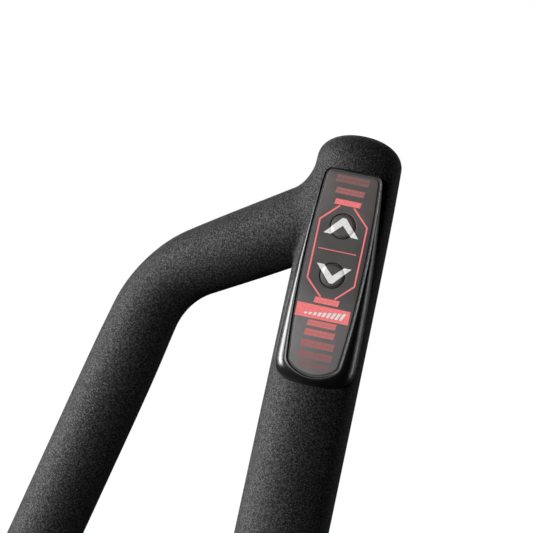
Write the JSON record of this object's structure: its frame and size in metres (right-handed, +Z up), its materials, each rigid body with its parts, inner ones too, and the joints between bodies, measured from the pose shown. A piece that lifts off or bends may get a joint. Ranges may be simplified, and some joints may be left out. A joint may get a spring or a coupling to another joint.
{
  "type": "handlebar grip with control pod",
  "caption": "Left-hand machine handle: a thick soft-skinned upright grip with a bent side grip that closes a hand loop, and a wedge-shaped pod with up and down keys for incline.",
  "frame": {"origin": "centre of the foot plate's underside, on the straight tube's axis", "axes": "+Z up along the straight tube, -Y the side the pod faces, -X the side the bent grip is on"},
  "size_m": [0.1757, 0.0863, 0.452],
  "materials": {
    "grip_skin": "seamless matte black soft skin with a fine grain",
    "pod_gloss": "glossy black moulding",
    "overlay_film": "dark grey printed film with a satin surface",
    "black_plastic": "black moulded plastic",
    "steel_tube": "drawn steel, bare under the skin",
    "coated_steel": "black powder coat",
    "zinc_steel": "bright zinc plate",
    "black_rubber": "black rubber",
    "white_plastic": "natural nylon",
    "board_green": "green solder mask"
  },
  "bodies": {
    "handle": {"main_tube": "steel_tube", "branch_tube": "steel_tube", "top_plug": "black_plastic", "grip_skin": "grip_skin", "lower_collar": "black_plastic", "flange_plate": "coated_steel", "socket_sleeve": "coated_steel", "cross_bolt_lower": "zinc_steel", "lock_nut_lower": "zinc_steel", "saddle_washer_lower_right": "zinc_steel", "saddle_washer_lower_left": "zinc_steel", "cross_bolt_upper": "zinc_steel", "lock_nut_upper": "zinc_steel", "saddle_washer_upper_right": "zinc_steel", "saddle_washer_upper_left": "zinc_steel", "base_screw_upper": "zinc_steel", "base_screw_lower": "zinc_steel", "cable_grommet": "black_rubber", "cable_lead": "black_rubber", "cable_connector": "white_plastic", "pod_base": "black_plastic", "pod_cover": "pod_gloss", "overlay_film": "overlay_film", "circuit_board": "board_green", "board_screw_left": "zinc_steel", "board_screw_right": "zinc_steel", "board_header": "white_plastic", "cable_plug": "white_plastic", "switch_body_up": "zinc_steel", "switch_body_down": "zinc_steel"},
    "up_key": {"key_up": "overlay_film", "switch_stem_up": "black_plastic"},
    "down_key": {"key_down": "overlay_film", "switch_stem_down": "black_plastic"}
  },
  "joints": [
    {"name": "up_key_press", "type": "slide", "parent": "handle", "child": "up_key", "axis": [0, 0.9975, -0.0708], "range_m": [0, 0.0005], "stiffness_N_per_m": 800, "springref_m": -0.002},
    {"name": "down_key_press", "type": "slide", "parent": "handle", "child": "down_key", "axis": [0, 0.9975, -0.0708], "range_m": [0, 0.0005], "stiffness_N_per_m": 800, "springref_m": -0.002}
  ]
}
